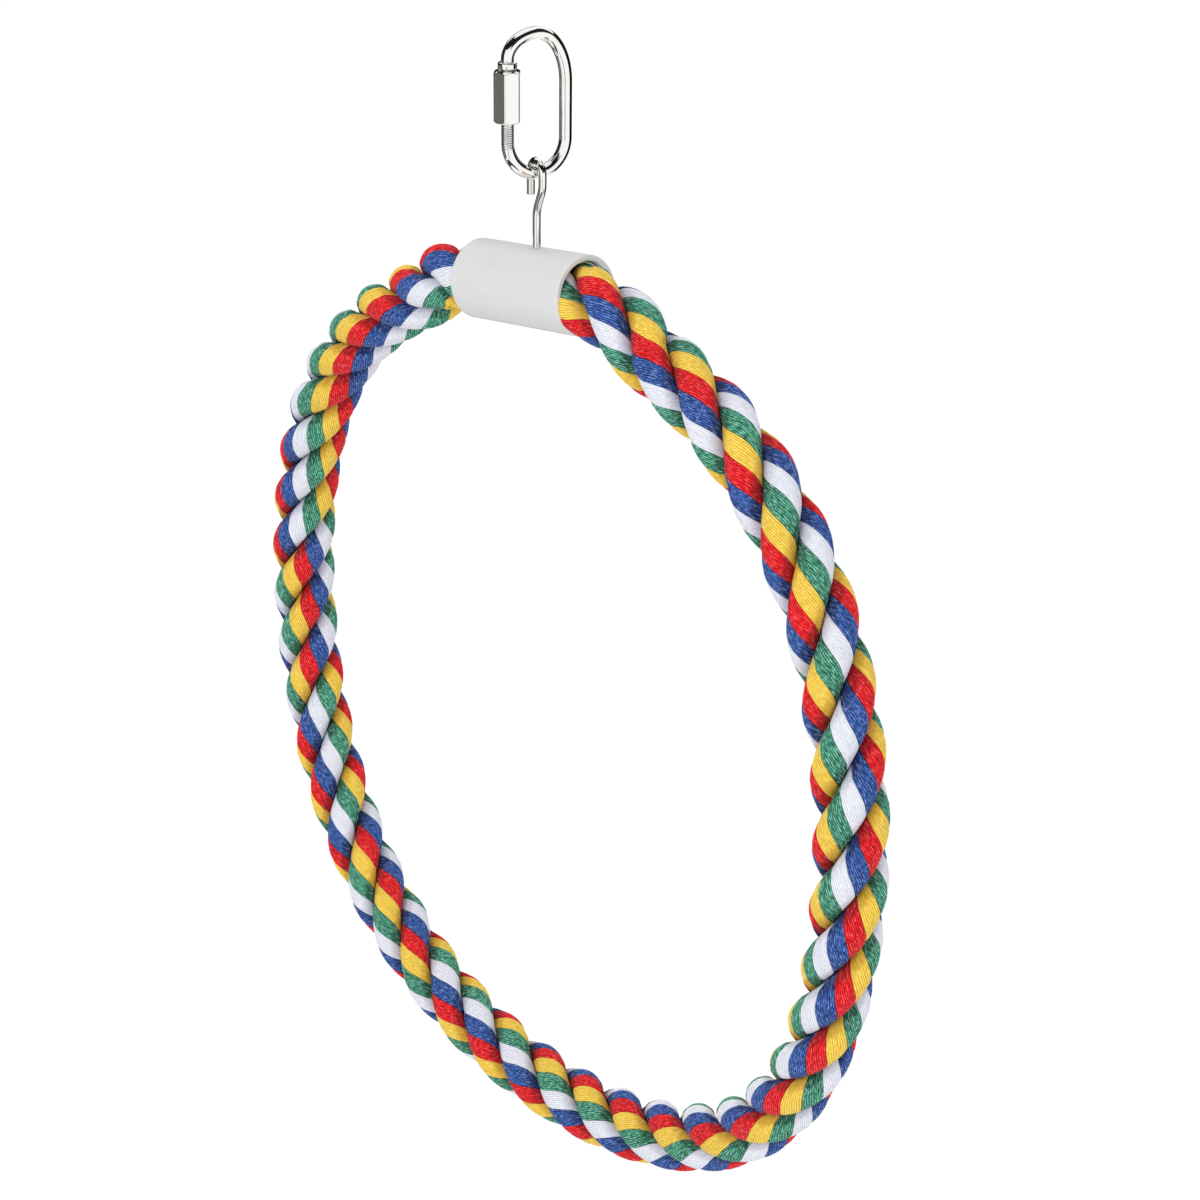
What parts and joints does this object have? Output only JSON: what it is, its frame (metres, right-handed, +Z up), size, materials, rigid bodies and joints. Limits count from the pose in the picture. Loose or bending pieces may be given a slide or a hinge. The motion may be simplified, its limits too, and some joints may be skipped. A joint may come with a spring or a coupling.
{
  "type": "parrot climbing ring",
  "caption": "Round perch of thick twisted cotton rope, closed in a plastic sleeve and hung by a wire hook from an oval quick link, for a parrot to climb and swing on.",
  "frame": {"origin": "hang point: the inside of the quick link's upper bend, where it rests on what carries it", "axes": "+Z up; the rope ring lies in the XZ plane with its sleeve on top; +Y is through the ring"},
  "size_m": [0.2799, 0.0347, 0.3439],
  "materials": {
    "polished_steel": "polished stainless steel",
    "galvanised_steel": "dull zinc coat",
    "sleeve_plastic": "satin, slightly milky",
    "cotton_rope": "laid cotton in five colours: yellow, red, blue, white and green",
    "end_tape": "matt tape"
  },
  "bodies": {
    "link": {"link_rod": "polished_steel"},
    "nut": {"link_nut": "polished_steel"},
    "perch": {"hanger_hook": "polished_steel", "joint_sleeve": "sleeve_plastic", "core_wire": "galvanised_steel", "crimp_ferrule": "galvanised_steel", "end_tape_left": "end_tape", "end_tape_right": "end_tape", "rope_strand_1": "cotton_rope", "rope_strand_2": "cotton_rope", "rope_strand_3": "cotton_rope"}
  },
  "joints": [
    {"name": "nut_travel", "type": "slide", "parent": "link", "child": "nut", "axis": [0, 0, -1], "range_m": [0, 0.0065]},
    {"name": "perch_swing", "type": "hinge", "parent": "link", "child": "perch", "pos_m": [0, 0, -0.03575], "axis": [0.2079, 0.9781, 0], "range_deg": [-75, 75]}
  ]
}
